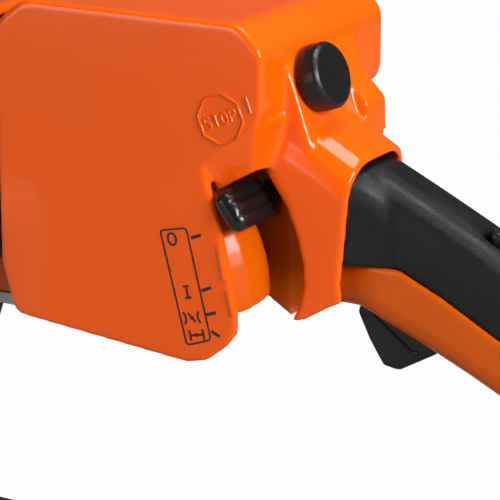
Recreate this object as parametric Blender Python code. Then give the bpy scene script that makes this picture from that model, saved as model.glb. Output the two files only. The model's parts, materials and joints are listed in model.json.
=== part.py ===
"""Petrol chainsaw, built as an assembly of separate sub-parts.

Frame: +X towards the rear handle, -Y towards the starter side, +Z up.
The origin is on the flat underside of the crankcase, below the crankshaft.
All driving dimensions are in millimetres; MM turns them into metres.
"""
import math

import bpy
import bmesh
import numpy as np
from mathutils import Vector

MM = 0.001
GAP = 0.3                      # clearance between neighbouring pieces

# Power head
CRANK_Z = 75.0                 # height of the crankshaft
CASE_LEFT = -36.0              # outer face of the left crankcase half
CASE_RIGHT = 31.0              # outer face of the right crankcase half
CASE_SPLIT = 6.0               # joint plane of the two halves
CASE_FRONT = -74.0
CASE_REAR = 54.0
CASE_TOP = 97.0
SHAFT_R = 6.0
CRANK_THROW = 14.0
BORE_R = 19.0
PISTON_TOP = 150.0
ROD_LENGTH = 47.0
INTAKE_Z = 140.0

# Starter side
STARTER_FACE = -92.0
STARTER_RIM = -36.4
ROPE_X = -24.0
ROPE_Y = -76.0
EYELET_Z = 150.0

# Clutch side, bar and chain
BAR_Y = 40.5                   # middle plane of the guide bar
BAR_THICK = 3.4
BAR_HALF = 23.0
BAR_TAIL = -27.0
BAR_NOSE = -392.0              # centre of the nose arc
NOSE_R = 17.0
CLUTCH_FACE = 70.0
STUD_X = (-45.0, -64.0)

# Carburettor cover
COVER_LEFT = -45.0
COVER_RIGHT = 49.0
COVER_TOP = 232.0
COVER_REAR = 234.5
COVER_WALL = 3.0
TOWER_LEFT = -28.0
TOWER_RIGHT = 26.0

# Rear handle
HANDLE_Y = -2.0                # middle plane of the rear handle
HOOD_Y = -6.5                  # middle plane of the hood round its root
HOOD_HALF = 22.5
GUARD_THICK = 9.0

# Master lever and throttle trigger
LEVER_PIVOT = (178.0, -18.0, 129.0)
LEVER_REACH = 55.0             # pivot to the middle of the knob
LEVER_REST = math.radians(38.3)
DRUM_R = 48.0
SLOT_LEFT = -21.6              # slot for the lever's arm
SLOT_RIGHT = -12.4
TRIGGER_PIVOT = (262.0, HANDLE_Y, 131.0)
INTERLOCK_PIVOT = (311.0, HANDLE_Y, 140.0)
LATCH = (238.9, -15.0, 208.0)   # middle of the twist lock's seat
LATCH_TILT = math.radians(19)
GUARD_PIVOT = (-34.0, 0.0, 158.0)

ORANGE = (0.82, 0.11, 0.005)
SHELL_ORANGE = (0.55, 0.085, 0.003)
BLACK = (0.012, 0.012, 0.013)
GREY = (0.62, 0.62, 0.60)
STEEL = (0.45, 0.45, 0.46)
ALLOY = (0.55, 0.56, 0.57)


# ---------------------------------------------------------------- tools

def clear_scene():
    for old in list(bpy.data.objects):
        bpy.data.objects.remove(old, do_unlink=True)


def finish_material(name, colour, roughness, metallic):
    """One Principled finish for one piece."""
    mat = bpy.data.materials.new(name)
    mat.use_nodes = True
    shader = mat.node_tree.nodes["Principled BSDF"]
    shader.inputs["Base Color"].default_value = (*colour, 1.0)
    shader.inputs["Roughness"].default_value = roughness
    shader.inputs["Metallic"].default_value = metallic
    return mat


def piece(name, points, faces, colour=GREY, roughness=0.5, metallic=0.0, origin=(0, 0, 0)):
    """A named object from points in millimetres, its origin moved to the given point."""
    base = np.array(origin, dtype=float)
    coords = (np.array(points, dtype=float) - base) * MM
    mesh = bpy.data.meshes.new(name)
    mesh.from_pydata([tuple(c) for c in coords], [], [tuple(f) for f in faces])
    work = bmesh.new()
    work.from_mesh(mesh)
    bmesh.ops.recalc_face_normals(work, faces=work.faces)
    work.to_mesh(mesh)
    work.free()
    mesh.materials.append(finish_material(name, colour, roughness, metallic))
    mesh.shade_smooth()
    mesh.set_sharp_from_angle(angle=math.radians(35))
    obj = bpy.data.objects.new(name, mesh)
    obj.location = Vector(base * MM)
    bpy.context.scene.collection.objects.link(obj)
    return obj


def rounded(corners, radius, steps=3):
    """Outline with every corner turned into an arc of the given radius.

    A corner may be (a, b) or (a, b, own_radius).
    """
    outline = []
    count = len(corners)
    for i, corner in enumerate(corners):
        here = Vector(corner[:2])
        before = Vector(corners[i - 1][:2])
        after = Vector(corners[(i + 1) % count][:2])
        r = corner[2] if len(corner) > 2 else radius
        to_before = (before - here).normalized()
        to_after = (after - here).normalized()
        half = to_before.angle(to_after) / 2
        if r <= 0 or half > math.radians(88):
            outline.append(tuple(here))
            continue
        reach = min(r / math.tan(half), 0.49 * (before - here).length, 0.49 * (after - here).length)
        start = here + to_before * reach
        end = here + to_after * reach
        for k in range(steps + 1):
            t = k / steps
            outline.append(tuple(start * (1 - t) ** 2 + here * 2 * t * (1 - t) + end * t ** 2))
    return outline


def circle(radius, centre=(0.0, 0.0), count=24, start=0.0, stop=2 * math.pi):
    """Points on an arc; a full circle doesn't repeat its first point."""
    full = abs(stop - start - 2 * math.pi) < 1e-6
    angles = np.linspace(start, stop, count, endpoint=not full)
    return [(centre[0] + radius * math.cos(a), centre[1] + radius * math.sin(a)) for a in angles]


def to_axes(a, b, c, axis):
    """Outline coordinates (a, b) and height c as x, y, z for a prism along the axis."""
    if axis == "X":
        return (c, a, b)
    if axis == "Y":
        return (a, c, b)
    return (a, b, c)


def prism(name, outline, low, high, axis="Y", **look):
    """Solid with the outline as its section, from low to high along the axis."""
    n = len(outline)
    points = [to_axes(a, b, low, axis) for a, b in outline]
    points += [to_axes(a, b, high, axis) for a, b in outline]
    faces = [list(range(n)), list(range(2 * n - 1, n - 1, -1))]
    faces += [(i, (i + 1) % n, n + (i + 1) % n, n + i) for i in range(n)]
    return piece(name, points, faces, **look)


def block(name, low, high, bevel=0.0, **look):
    """Box between two corners, with bevelled edges where asked for."""
    x0, y0, z0 = low
    x1, y1, z1 = high
    obj = prism(name, [(x0, y0), (x1, y0), (x1, y1), (x0, y1)], z0, z1, axis="Z", **look)
    if bevel > 0:
        soften(obj, bevel)
    return obj


def soften(obj, width, segments=2, angle=40):
    """Round the object's sharp edges."""
    mod = obj.modifiers.new("edges", "BEVEL")
    mod.width = width * MM
    mod.segments = segments
    mod.limit_method = "ANGLE"
    mod.angle_limit = math.radians(angle)


def lathe(name, profile, centre=(0, 0, 0), axis="Y", count=24, **look):
    """Body of revolution: profile points are (radius, height along the axis).

    A profile that starts and ends at radius 0 is a solid; any other is a closed ring.
    """
    points = []
    rings = []
    for r, h in profile:
        if r <= 1e-9:
            rings.append([len(points)])
            points.append(to_axes(0.0, 0.0, h, axis))
            continue
        rings.append(list(range(len(points), len(points) + count)))
        points += [to_axes(a, b, h, axis) for a, b in circle(r, count=count)]
    faces = []
    closed_ring = profile[0][0] > 0
    pairs = list(zip(rings, rings[1:]))
    if closed_ring:
        pairs.append((rings[-1], rings[0]))
    for low, high in pairs:
        for k in range(count):
            m = (k + 1) % count
            if len(low) == 1 and len(high) == 1:
                continue
            if len(low) == 1:
                faces.append((low[0], high[k], high[m]))
            elif len(high) == 1:
                faces.append((low[k], high[0], low[m]))
            else:
                faces.append((low[k], high[k], high[m], low[m]))
    moved = np.array(points) + np.array(centre, dtype=float)
    return piece(name, moved, faces, **look)


def rod(name, start, end, radius, count=12, **look):
    """Straight round bar between two points."""
    return sweep(name, [start, end], radius, count, **look)


def sweep(name, path, radius, count=10, **look):
    """Round tube along a path, its rings carried without twist."""
    route = [Vector(p) for p in path]
    side = None
    points = []
    for i, here in enumerate(route):
        ahead = route[min(i + 1, len(route) - 1)] - route[max(i - 1, 0)]
        ahead.normalize()
        if side is None:
            side = ahead.orthogonal().normalized()
        side = (side - ahead * side.dot(ahead)).normalized()
        other = ahead.cross(side)
        for k in range(count):
            a = 2 * math.pi * k / count
            points.append(tuple(here + (side * math.cos(a) + other * math.sin(a)) * radius))
    return piece(name, points, ring_faces(len(route), count), **look)


def ring_faces(rings, count):
    """Faces of a capped skin over consecutive rings with the same number of points."""
    faces = [list(range(count))]
    for i in range(rings - 1):
        for k in range(count):
            m = (k + 1) % count
            faces.append((i * count + k, i * count + m, (i + 1) * count + m, (i + 1) * count + k))
    faces.append(list(range(rings * count - 1, (rings - 1) * count - 1, -1)))
    return faces


def smooth_path(stops, per_span=5):
    """Points along a Catmull-Rom curve through the stops."""
    pts = [Vector(s) for s in stops]
    pts = [pts[0] * 2 - pts[1]] + pts + [pts[-1] * 2 - pts[-2]]
    path = []
    for i in range(1, len(pts) - 2):
        p0, p1, p2, p3 = pts[i - 1:i + 3]
        for k in range(per_span):
            t = k / per_span
            path.append(0.5 * (2 * p1 + (p2 - p0) * t + (2 * p0 - 5 * p1 + 4 * p2 - p3) * t ** 2
                               + (3 * p1 - p0 - 3 * p2 + p3) * t ** 3))
    path.append(pts[-2])
    return path


def combine(obj, tool, operation="DIFFERENCE"):
    """Boolean with a tool object that is itself left out of the build."""
    tool.hide_render = True
    tool.display_type = "WIRE"
    mod = obj.modifiers.new(operation.lower(), "BOOLEAN")
    mod.operation = operation
    mod.solver = "EXACT"
    mod.object = tool
    return obj


def cut_round(obj, centre, radius, low, high, axis="Y", count=20):
    """Drill a round hole along the axis."""
    tool = lathe("cut_" + obj.name, [(0, low), (radius, low), (radius, high), (0, high)],
                 centre=centre, axis=axis, count=count)
    return combine(obj, tool)


def cut_block(obj, low, high):
    return combine(obj, block("cut_" + obj.name, low, high))


def cut_prism(obj, outline, low, high, axis="Y"):
    return combine(obj, prism("cut_" + obj.name, outline, low, high, axis=axis))


def add_prism(obj, outline, low, high, axis="Y"):
    return combine(obj, prism("add_" + obj.name, outline, low, high, axis=axis), "UNION")


# ---------------------------------------------------------------- engine

CASE_OUTLINE = [(CASE_FRONT, 0), (CASE_REAR, 0), (CASE_REAR, 58), (44, 88), (34, CASE_TOP),
                (-34, CASE_TOP), (-62, 84), (CASE_FRONT, 60)]


def crankcase(name, low, high):
    """One half of the crankcase: crank chamber, main bearing bore and throat to the cylinder."""
    half = prism(name, rounded(CASE_OUTLINE, 6, 2), low, high, colour=ALLOY, roughness=0.55, metallic=0.6)
    cut_round(half, (0, 0, CRANK_Z), 31.0, -15.0, 15.0, count=28)
    cut_round(half, (0, 0, CRANK_Z), SHAFT_R + 0.5, low - 5, high + 5)
    cut_block(half, (-13, -10, CRANK_Z), (13, 10, CASE_TOP + 5))
    return half


def make_crankcase():
    crankcase("crankcase_left", CASE_LEFT, CASE_SPLIT - GAP / 2)
    right = crankcase("crankcase_right", CASE_SPLIT + GAP / 2, CASE_RIGHT)
    add_prism(right, rounded([(-73, 58), (-39, 58), (-39, 90), (-64, 90), (-73, 80)], 5, 2),
              CASE_RIGHT - 4, BAR_Y - BAR_THICK / 2 - GAP)
    for x in STUD_X:
        stud = lathe("add_stud", [(0, CASE_RIGHT - 9), (4, CASE_RIGHT - 9), (4, CLUTCH_FACE + 7), (0, CLUTCH_FACE + 7)],
                     centre=(x, 0, CRANK_Z), count=12)
        combine(right, stud, "UNION")


def make_crankshaft():
    """Pressed crankshaft: two webs with their shaft ends, and the crank pin between them."""
    z = CRANK_Z
    shaft = lathe("crankshaft", [(0, -66), (SHAFT_R, -66), (SHAFT_R, -12.5), (26, -12.5), (26, -5.5), (0, -5.5)],
                  centre=(0, 0, z), colour=STEEL, roughness=0.3, metallic=1.0, origin=(0, 0, z))
    right = lathe("add_half", [(0, 5.5), (26, 5.5), (26, 12.5), (SHAFT_R, 12.5), (SHAFT_R, 65.6), (0, 65.6)],
                  centre=(0, 0, z))
    pin = lathe("add_pin", [(0, -8), (5, -8), (5, 8), (0, 8)], centre=(0, 0, z + CRANK_THROW), count=16)
    combine(shaft, pin, "UNION")
    combine(shaft, right, "UNION")


def make_piston_group():
    """Piston, its pin and the rod, at top dead centre. The rod's big end is left open under the crank pin's
    circle, so that the crankshaft turns freely below it."""
    pin_z = CRANK_Z + CRANK_THROW + ROD_LENGTH
    big = circle(9.5, (0, CRANK_Z + CRANK_THROW), 12, math.radians(115), math.radians(425))
    small = circle(7, (0, pin_z), 9, math.radians(-65), math.radians(245))
    conrod = prism("connecting_rod", big + small, -4, 4, colour=STEEL, roughness=0.35, metallic=1.0,
                   origin=(0, 0, pin_z))
    cut_round(conrod, (0, 0, CRANK_Z), CRANK_THROW + 5.6, -6, 6, count=48)
    cut_round(conrod, (0, 0, pin_z), 4.3, -6, 6, count=14)
    r = BORE_R - 0.4
    top = PISTON_TOP
    piston = lathe("piston", [(0, top), (r, top), (r, top - 24), (r - 3, top - 24), (r - 3, top - 5), (0, top - 5)],
                   axis="Z", colour=ALLOY, roughness=0.3, metallic=1.0, origin=(0, 0, pin_z))
    cut_round(piston, (0, 0, pin_z), 4.3, -30, 30, count=14)
    rod("piston_pin", (0, -17, pin_z), (0, 17, pin_z), 4.0, 14, colour=STEEL, roughness=0.2, metallic=1.0,
        origin=(0, 0, pin_z))


def make_cylinder():
    """Finned barrel with exhaust port at the front, intake port at the rear and plug hole on top."""
    base = CASE_TOP + GAP
    profile = [(BORE_R, base), (30, base), (30, base + 7), (24, base + 7)]
    fin = base + 13
    while fin < 160:
        profile += [(24, fin), (42, fin), (42, fin + 2.4), (24, fin + 2.4)]
        fin += 10.5
    profile += [(24, 170), (14, 172), (5.3, 172), (5.3, 158), (BORE_R, 154)]
    barrel = lathe("cylinder", profile, axis="Z", count=20, colour=ALLOY, roughness=0.5, metallic=0.8)
    exhaust = lathe("add_port", [(0, -43), (13, -43), (13, -20), (0, -20)], centre=(0, 0, 128), axis="X", count=16)
    intake = lathe("add_port", [(0, 20), (14, 20), (14, 43), (0, 43)], centre=(0, 0, INTAKE_Z), axis="X", count=16)
    cut_block(barrel, (-60, 30.8, 99), (60, 60, 180))
    cut_block(barrel, (-60, -60, 99), (60, -35.8, 180))
    combine(barrel, exhaust, "UNION")
    combine(barrel, intake, "UNION")
    cut_round(barrel, (0, 0, 128), 9, -50, -10, axis="X", count=14)
    cut_round(barrel, (0, 0, INTAKE_Z), 9, 10, 50, axis="X", count=14)


def make_ignition():
    lathe("spark_plug", [(0, 155), (4.9, 155), (4.9, 172.4), (9, 172.4), (9, 180), (5, 180), (5, 196), (0, 196)],
          axis="Z", count=12, colour=(0.8, 0.8, 0.78), roughness=0.3)
    boot = lathe("ignition_lead", [(5.3, 184), (9, 184), (9, 200), (7, 204), (0, 204), (0, 198), (5.3, 198)],
                 axis="Z", count=14, colour=BLACK, roughness=0.6)
    lead = sweep("add_lead", smooth_path([(7.6, 0, 193), (24, -8, 194), (37, -20, 184), (39, -30, 160),
                                          (36, -33, 142), (30, -41, 132), (20.6, -47, 130)], 3), 2.5, 8)
    combine(boot, lead, "UNION")
    block("ignition_coil", (-20, -53, 122.6), (19.4, -41, 141), 2, colour=(0.05, 0.05, 0.06), roughness=0.5)


def make_muffler():
    box = block("muffler", (-86, -29, 104), (-43.6, 29, 150), 6, colour=(0.3, 0.29, 0.28), roughness=0.5,
                metallic=0.8)
    cut_block(box, (-92, 12, 118), (-80, 24, 132))


def make_flywheel():
    """Flywheel with cooling vanes on its outer face."""
    wheel = lathe("flywheel", [(SHAFT_R + 0.3, -60), (12, -60), (12, -52), (47, -52), (47, -44), (10, -44),
                               (10, -39), (SHAFT_R + 0.3, -39)],
                  centre=(0, 0, CRANK_Z), count=30, colour=ALLOY, roughness=0.45, metallic=0.8,
                  origin=(0, 0, CRANK_Z))
    for k in range(10):
        a = 2 * math.pi * k / 10
        along = Vector((math.cos(a), math.sin(a)))
        across = Vector((-along.y, along.x)) * 1.3
        inner = along * 20
        outer = along * 45
        bend = Vector((0, CRANK_Z))
        vane = [tuple(inner - across + bend), tuple(outer - across + bend), tuple(outer + across + bend),
                tuple(inner + across + bend)]
        add_prism(wheel, vane, -62, -51)


# ---------------------------------------------------------------- starter

STARTER_OUTLINE = [(-72, 14, 34), (58, 14, 24), (106, 62, 26), (106, 148, 12), (-46, 148, 26), (-72, 120, 26)]


def make_starter():
    housing = prism("starter_housing", rounded(STARTER_OUTLINE, 20, 5), STARTER_FACE, STARTER_RIM,
                    colour=GREY, roughness=0.45)
    inner = [(-68.5, 17.5, 31), (57, 17.5, 21), (102.5, 63, 23), (102.5, 144.5, 9), (-44.5, 144.5, 23),
             (-68.5, 118, 23)]
    cut_prism(housing, rounded(inner, 18, 5), STARTER_FACE + 3.5, STARTER_RIM + 5)
    for k in range(12):
        a = 2 * math.pi * (k + 0.5) / 12
        along = Vector((math.cos(a), math.sin(a)))
        across = Vector((-along.y, along.x)) * 3.2
        mid = Vector((0, CRANK_Z))
        slot = [tuple(mid + along * 30 - across), tuple(mid + along * 50 - across),
                tuple(mid + along * 50 + across), tuple(mid + along * 30 + across)]
        cut_prism(housing, slot, STARTER_FACE - 3, STARTER_FACE + 6)
    post = lathe("add_post", [(0, STARTER_FACE + 2), (5, STARTER_FACE + 2), (5, -70.5), (0, -70.5)],
                 centre=(0, 0, CRANK_Z), count=14)
    combine(housing, post, "UNION")
    cut_round(housing, (ROPE_X, ROPE_Y, 0), 5.2, 140, 155, axis="Z", count=14)

    wound = CRANK_Z
    lathe("starter_pulley", [(5.3, -81.5), (26, -81.5), (26, -80), (19, -80), (19, -73), (26, -73), (26, -71.5),
                             (5.3, -71.5)],
          centre=(0, 0, wound), count=24, colour=BLACK, roughness=0.5, origin=(0, 0, wound))
    make_recoil_spring()
    prism("starter_pawl", [(8, wound + 4), (21, wound + 8), (24, wound + 13), (17, wound + 15), (7, wound + 9)],
          -71.2, -67.8, colour=BLACK, roughness=0.5, origin=(0, 0, wound))
    rod("starter_rope", (ROPE_X - 3.2, ROPE_Y, 52), (ROPE_X, ROPE_Y, 156.2), 2.0, 8,
        colour=(0.7, 0.7, 0.66), roughness=0.9)
    grip = prism("starter_grip", rounded([(-24, 0, 4), (24, 0, 4), (26, 8, 4), (22, 14, 5), (-22, 14, 5), (-26, 8, 4)],
                                         4, 2), ROPE_Y - 7, ROPE_Y + 7, colour=BLACK, roughness=0.6)
    for vertex in grip.data.vertices:
        vertex.co += Vector((ROPE_X, 0, EYELET_Z + 6.6)) * MM
    soften(grip, 2.5, 2)


def make_recoil_spring():
    """Flat spiral spring between the housing's face and the pulley."""
    turns = 3.5
    steps = 44
    inner = []
    outer = []
    for k in range(steps + 1):
        t = k / steps
        a = 2 * math.pi * turns * t
        r = 8 + 15 * t
        inner.append((r * math.cos(a), CRANK_Z + r * math.sin(a)))
        outer.append(((r + 0.8) * math.cos(a), CRANK_Z + (r + 0.8) * math.sin(a)))
    points = []
    for y in (STARTER_FACE + 4.2, -82.2):
        points += [(x, y, z) for x, z in inner]
        points += [(x, y, z) for x, z in outer]
    n = steps + 1
    faces = []
    for k in range(steps):
        faces.append((k, k + 1, n + k + 1, n + k))
        faces.append((2 * n + k, 3 * n + k, 3 * n + k + 1, 2 * n + k + 1))
        faces.append((k, 2 * n + k, 2 * n + k + 1, k + 1))
        faces.append((n + k, n + k + 1, 3 * n + k + 1, 3 * n + k))
    faces.append((0, n, 3 * n, 2 * n))
    faces.append((n - 1, 3 * n - 1, 4 * n - 1, 2 * n - 1))
    piece("recoil_spring", points, faces, colour=STEEL, roughness=0.3, metallic=1.0)


# ---------------------------------------------------------------- clutch side

def make_clutch():
    centre = (0, 0, CRANK_Z)
    steel = dict(colour=STEEL, roughness=0.35, metallic=1.0, origin=centre)
    lathe("clutch_hub", [(SHAFT_R + 0.3, 49.5), (11, 49.5), (11, 60.5), (SHAFT_R + 0.3, 60.5)], centre=centre,
          count=18, **steel)
    for k in range(3):
        start = 2 * math.pi * k / 3 + 0.12
        stop = start + 2 * math.pi / 3 - 0.24
        outline = circle(30, (0, CRANK_Z), 9, start, stop) + circle(11.6, (0, CRANK_Z), 6, stop, start)
        prism("clutch_shoe_%d" % (k + 1), outline, 50, 60, **steel)
    drum = lathe("clutch_drum", [(8.0, 45.9), (34, 45.9), (34, 64), (32.4, 64), (32.4, 47.6), (8.0, 47.6)],
          centre=centre, count=30, **steel)
    teeth = 7
    star = []
    for k in range(teeth):
        a = 2 * math.pi * k / teeth
        star += [((15.2 if j in (1, 2) else 11.5) * math.cos(a + j * 0.22) if j else 11.5 * math.cos(a),
                  CRANK_Z + ((15.2 if j in (1, 2) else 11.5) * math.sin(a + j * 0.22) if j else 11.5 * math.sin(a)))
                 for j in range(4)]
    add_prism(drum, star, 37.2, 46.4)
    cut_round(drum, centre, 8.7, 30, 50, count=18)
    lathe("drum_bearing", [(SHAFT_R + 0.3, 37.2), (8.4, 37.2), (8.4, 47.4), (SHAFT_R + 0.3, 47.4)], centre=centre,
          count=16, **steel)
    pump = block("oil_pump", (-24, CASE_RIGHT + GAP, 56), (18, 36.6, 94), 1.2, colour=BLACK, roughness=0.5)
    cut_round(pump, (0, 0, CRANK_Z), SHAFT_R + 0.6, 28, 40)


COVER_R = 38.3                 # rear end of the clutch cover, round the shaft


def cover_outline(inset, front):
    """Outline of the clutch cover: an arc round the shaft, carried forward to its open front end."""
    r = COVER_R - inset
    arc = circle(r, (0, CRANK_Z), 15, math.radians(-90), math.radians(90))
    return arc + [(front, CRANK_Z + r - 6), (front, CRANK_Z - r + 4)]


def make_clutch_cover():
    cover = prism("clutch_cover", cover_outline(0, -74), CASE_RIGHT + 0.4, CLUTCH_FACE,
                  colour=(0.03, 0.03, 0.032), roughness=0.5)
    cut_prism(cover, cover_outline(2.6, -92), CASE_RIGHT - 5, CLUTCH_FACE - 3)
    for x in STUD_X:
        cut_round(cover, (x, 0, CRANK_Z), 4.4, CLUTCH_FACE - 8, CLUTCH_FACE + 6, count=12)
    cut_prism(cover, rounded(CASE_OUTLINE, 6, 2), CASE_RIGHT - 6, CASE_RIGHT + 0.45)
    pad = prism("add_pad", rounded([(-72, 62), (-39.5, 62), (-39.5, 88), (-72, 88)], 5, 2),
                BAR_Y + BAR_THICK / 2 + GAP, CLUTCH_FACE - 2)
    for x in STUD_X:
        cut_round(pad, (x, 0, CRANK_Z), 4.4, 30, 90, count=12)
    combine(cover, pad, "UNION")
    soften(cover, 2.0, 1, 60)

    for n, x in enumerate(STUD_X):
        lathe("bar_nut_%d" % (n + 1), [(4.9, CLUTCH_FACE + GAP), (8.6, CLUTCH_FACE + GAP), (8.6, CLUTCH_FACE + 2),
                                       (7.6, CLUTCH_FACE + 2), (7.6, CLUTCH_FACE + 9), (4.9, CLUTCH_FACE + 9)],
              centre=(x, 0, CRANK_Z), count=6, colour=STEEL, roughness=0.3, metallic=1.0, origin=(x, 0, CRANK_Z))

    band = circle(35.3, (0, CRANK_Z), 26, math.radians(-10), math.radians(295))
    band += circle(34.4, (0, CRANK_Z), 26, math.radians(295), math.radians(-10))
    prism("brake_band", band, 49, 61, colour=STEEL, roughness=0.4, metallic=1.0)
    screw = lathe("chain_tensioner", [(0, -84), (4.5, -84), (4.5, -80), (2.6, -80), (2.6, -60), (0, -60)],
                  centre=(0, 56, 48), axis="X", count=12, colour=STEEL, roughness=0.3, metallic=1.0)
    combine(screw, block("add_nut", (-65.6, 51, 43), (-52, 61, 53)), "UNION")
    catcher = rounded([(-66, 16), (-40, 16), (-40, 27), (-66, 27)], 4, 2)
    prism("chain_catcher", catcher, CASE_RIGHT + GAP, 46, colour=ALLOY, roughness=0.5, metallic=0.5)
    spikes = [(CASE_FRONT - 0.4, 14), (CASE_FRONT - 0.4, 58)]
    for k in range(5):
        top = 58 - k * 9
        spikes += [(-79, top), (-90 + 1.5 * abs(k - 2), top - 3.4), (-79, top - 6.4)]
    prism("bumper_spikes", spikes, 22, 26, colour=STEEL, roughness=0.45, metallic=0.9)


def bar_edge(offset, tail_x, tail_r):
    """Outline round the guide bar at a distance from its edge, closed by an arc at the tail."""
    outline = []
    nose = NOSE_R + offset
    outline += circle(nose, (BAR_NOSE, CRANK_Z), 13, math.radians(90), math.radians(270))
    half = BAR_HALF + offset
    stretch = [(-340, 0.80), (-270, 0.97), (-200, 1.0), (-110, 0.97)]
    for x, share in stretch:
        outline.append((x, CRANK_Z - half * share))
    outline += circle(tail_r, (tail_x, CRANK_Z), 9, math.radians(-90), math.radians(90))
    for x, share in reversed(stretch):
        outline.append((x, CRANK_Z + half * share))
    return outline


def make_bar():
    low = BAR_Y - BAR_THICK / 2
    high = BAR_Y + BAR_THICK / 2
    tail = [(BAR_TAIL, CRANK_Z - 10), (BAR_TAIL, CRANK_Z + 10), (-34, CRANK_Z + 15.5), (-110, CRANK_Z + 22.3)]
    under = [(-110, CRANK_Z - 22.3), (-34, CRANK_Z - 15.5)]
    back = [(-200, CRANK_Z + 23), (-270, CRANK_Z + 22.3), (-340, CRANK_Z + 18.4)]
    nose = circle(NOSE_R, (BAR_NOSE, CRANK_Z), 13, math.radians(90), math.radians(270))
    front = [(x, 2 * CRANK_Z - z) for x, z in reversed(back)]
    bar = prism("guide_bar", nose + front + under + tail + back, low, high, colour=STEEL, roughness=0.35,
                metallic=1.0)
    slot = rounded([(-112, CRANK_Z - 4.4), (-40.5, CRANK_Z - 4.4), (-40.5, CRANK_Z + 4.4), (-112, CRANK_Z + 4.4)], 4, 2)
    cut_prism(bar, slot, low - 2, high + 2)
    ring = lathe("cut_nose", [(5.2, BAR_Y - 0.9), (30, BAR_Y - 0.9), (30, BAR_Y + 0.9), (5.2, BAR_Y + 0.9)],
                 centre=(BAR_NOSE, 0, CRANK_Z), count=24)
    combine(bar, ring)
    star = []
    for k in range(9):
        a = 2 * math.pi * k / 9
        star.append((BAR_NOSE + 12 * math.cos(a), CRANK_Z + 12 * math.sin(a)))
        star.append((BAR_NOSE + 15.5 * math.cos(a + 0.28), CRANK_Z + 15.5 * math.sin(a + 0.28)))
        star.append((BAR_NOSE + 15.5 * math.cos(a + 0.42), CRANK_Z + 15.5 * math.sin(a + 0.42)))
    wheel = prism("nose_sprocket", star, BAR_Y - 0.6, BAR_Y + 0.6, colour=STEEL, roughness=0.35, metallic=1.0,
                  origin=(BAR_NOSE, BAR_Y, CRANK_Z))
    cut_round(wheel, (BAR_NOSE, 0, CRANK_Z), 5.6, 30, 50, count=16)
    outer = bar_edge(8.0, 0, 24.5)
    inner = bar_edge(0.5, 0, 16.6)
    chain = prism("saw_chain", outer, BAR_Y - 3.2, BAR_Y + 3.2, colour=(0.3, 0.3, 0.31), roughness=0.35, metallic=1.0)
    cut_prism(chain, inner, BAR_Y - 6, BAR_Y + 6)


# ---------------------------------------------------------------- covers

def make_shroud():
    """Hood over cylinder and muffler, open below and at the rear."""
    outline = [(-92, 152, 6), (-92, 190, 24), (-62, 218, 26), (60, 224, 30), (116.5, 226, 4), (116.5, 152, 3)]
    hood = prism("engine_shroud", rounded(outline, 10, 4), -45, 47, colour=ORANGE, roughness=0.3)
    soften(hood, 7, 2, 40)
    inner = [(-89, 140), (-89, 189, 22), (-61, 215, 24), (60, 221, 28), (130, 223), (130, 140)]
    cut_prism(hood, rounded(inner, 0, 4), -42, 44)
    gx, _, gz = GUARD_PIVOT
    for low, high in ((-60, -43), (45, 61)):
        boss = lathe("add_boss", [(0, low), (3, low), (3, high), (0, high)], centre=(gx, 0, gz), count=12)
        combine(hood, boss, "UNION")
    for k in range(5):
        z = 168 + k * 8
        cut_block(hood, (-60 + 3 * k, -50, z), (-8, -40, z + 4))
        cut_block(hood, (-60 + 3 * k, 40, z), (-8, 55, z + 4))


PANEL = [(119.3, 129, 2), (125.1, 108.5, 6), (202.2, 101.9, 3), (211, 104, 3), (219.4, 110.8, 3), (224.1, 117, 2),
         (224.1, 124, 1), (218.3, 152, 0), (210.4, 178.3, 2), (233, 196, 2), (COVER_REAR, 201, 2),
         (COVER_REAR, 223, 9), (225, COVER_TOP, 9), (132, COVER_TOP, 12), (119.3, 222, 12)]


def make_cover():
    """Carburettor cover: side panels, top, rear wall and the hood round the root of the handle."""
    cover = prism("carburettor_cover", rounded(PANEL, 2, 3), COVER_LEFT, COVER_RIGHT, colour=ORANGE, roughness=0.25)
    soften(cover, 2.5, 2, 50)
    tower = [(221, 179), (247.5, 181), (235.6, 215.3), (234, 219), (221, 224)]
    seat = prism("add_tower", tower, TOWER_LEFT, TOWER_RIGHT)
    soften(seat, 2.0, 3, 38)
    combine(cover, seat, "UNION")
    shoulder = [(225, 176), (249.4, 176), (248.2, 195), (240, 203), (225, 206)]
    add_prism(cover, rounded(shoulder, 2, 2), 10, TOWER_RIGHT - 0.5)
    wall = COVER_WALL
    room = [(100, 60), (300, 60), (300, 150), (209.8, 176.8), (207.8, 180.4), (231, 198.6), (231.5, 201),
            (231.5, 222, 7), (224, COVER_TOP - wall, 7), (133, COVER_TOP - wall, 9), (122.3, 221, 9),
            (122.3, 170), (100, 170)]
    cut_prism(cover, rounded(room, 0, 3), COVER_LEFT + wall, TOWER_LEFT + wall + 0.5)
    right = room[:3] + [(300, 176), (231.5, 184)] + room[6:]
    cut_prism(cover, rounded(right, 0, 3), TOWER_RIGHT - wall, COVER_RIGHT - wall)
    middle = [(100, 60), (227, 60), (234, 100), (238, 177), (243.5, 181), (231, 214), (228.6, 224),
              (224, COVER_TOP - wall, 7), (133, COVER_TOP - wall, 9), (122.3, 221, 9), (122.3, 170), (100, 170)]
    cut_prism(cover, rounded(middle, 0, 3), TOWER_LEFT + wall, TOWER_RIGHT - wall + 0.5)
    combine(cover, hood_body("add_hood"), "UNION")
    combine(cover, recess("add_recess"), "UNION")
    cut_block(cover, (100, COVER_RIGHT - wall - 1, 60), (260, COVER_RIGHT + 5, 138))
    combine(cover, hood_room("cut_hood"))
    combine(cover, tilted("cut_latch", [(0, -16), (3.4, -16), (3.4, 6), (0, 6)], 12))

    knob = tilted("twist_lock", [(0, -9), (3, -9), (3, GAP), (12, GAP), (12.6, 3), (12.4, 8), (11, 9.5), (0, 9.5)],
                  24, colour=BLACK, roughness=0.35)


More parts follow.
